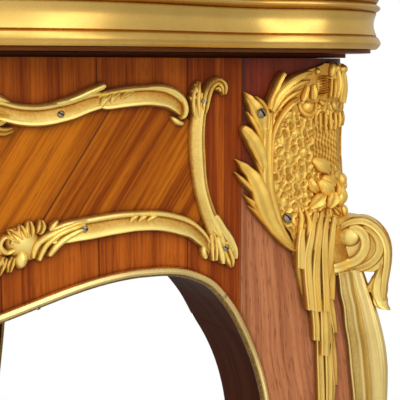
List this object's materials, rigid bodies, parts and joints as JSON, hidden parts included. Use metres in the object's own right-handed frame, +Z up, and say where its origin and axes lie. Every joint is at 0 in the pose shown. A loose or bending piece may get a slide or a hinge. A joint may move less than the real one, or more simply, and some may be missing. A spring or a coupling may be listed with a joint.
{
  "type": "centre table",
  "caption": "Serpentine centre table with a bronze-rimmed top, veneered friezes framed by gilt scrolls and cabriole legs with gilt bronze corner mounts.",
  "frame": {"origin": "on the floor under the middle of the table", "axes": "+X along the table's length to the right, front faces -Y, +Z up"},
  "size_m": [1.114, 0.814, 0.765],
  "materials": {
    "top_veneer": "polished",
    "frieze_veneer": "polished",
    "leg_veneer": "polished",
    "carcase_wood": "raw",
    "gilt_rim": "polished",
    "gilt_bead": "polished",
    "gilt_mount": "burnished",
    "gilt_pale": "burnished"
  },
  "bodies": {
    "root": {"top_board": "top_veneer", "top_bearer": "carcase_wood", "rim_front_left": "gilt_rim", "rim_front_right": "gilt_rim", "rim_rear_left": "gilt_rim", "rim_rear_right": "gilt_rim", "apron_front": "frieze_veneer", "apron_left": "frieze_veneer", "apron_rear": "frieze_veneer", "apron_right": "frieze_veneer", "leg_front_left": "leg_veneer", "leg_front_right": "leg_veneer", "leg_rear_left": "leg_veneer", "leg_rear_right": "leg_veneer", "sabot_front_left": "gilt_mount", "sabot_front_right": "gilt_mount", "sabot_rear_left": "gilt_mount", "sabot_rear_right": "gilt_mount", "corner_block_front_left": "carcase_wood", "corner_block_front_right": "carcase_wood", "corner_block_rear_left": "carcase_wood", "corner_block_rear_right": "carcase_wood", "middle_rail": "carcase_wood", "glue_block_front_left": "carcase_wood", "glue_block_front_right": "carcase_wood", "glue_block_rear_left": "carcase_wood", "glue_block_rear_right": "carcase_wood", "bead_front": "gilt_bead", "bead_left": "gilt_bead", "bead_rear": "gilt_bead", "bead_right": "gilt_bead", "panel_frame_front": "gilt_mount", "panel_frame_left": "gilt_mount", "panel_frame_rear": "gilt_mount", "panel_frame_right": "gilt_mount", "corner_chute_front_left": "gilt_mount", "corner_chute_front_right": "gilt_mount", "corner_chute_rear_left": "gilt_mount", "corner_chute_rear_right": "gilt_mount", "pendant_front_left_front": "gilt_mount", "pendant_front_left_side": "gilt_mount", "pendant_front_right_front": "gilt_mount", "pendant_front_right_side": "gilt_mount", "pendant_rear_left_front": "gilt_mount", "pendant_rear_left_side": "gilt_mount", "pendant_rear_right_front": "gilt_mount", "pendant_rear_right_side": "gilt_mount", "corner_scroll_front_left": "gilt_mount", "corner_scroll_front_right": "gilt_mount", "corner_scroll_rear_left": "gilt_mount", "corner_scroll_rear_right": "gilt_mount", "leg_mount_front_left": "gilt_pale", "leg_mount_front_right": "gilt_pale", "leg_mount_rear_left": "gilt_pale", "leg_mount_rear_right": "gilt_pale"}
  },
  "joints": []
}
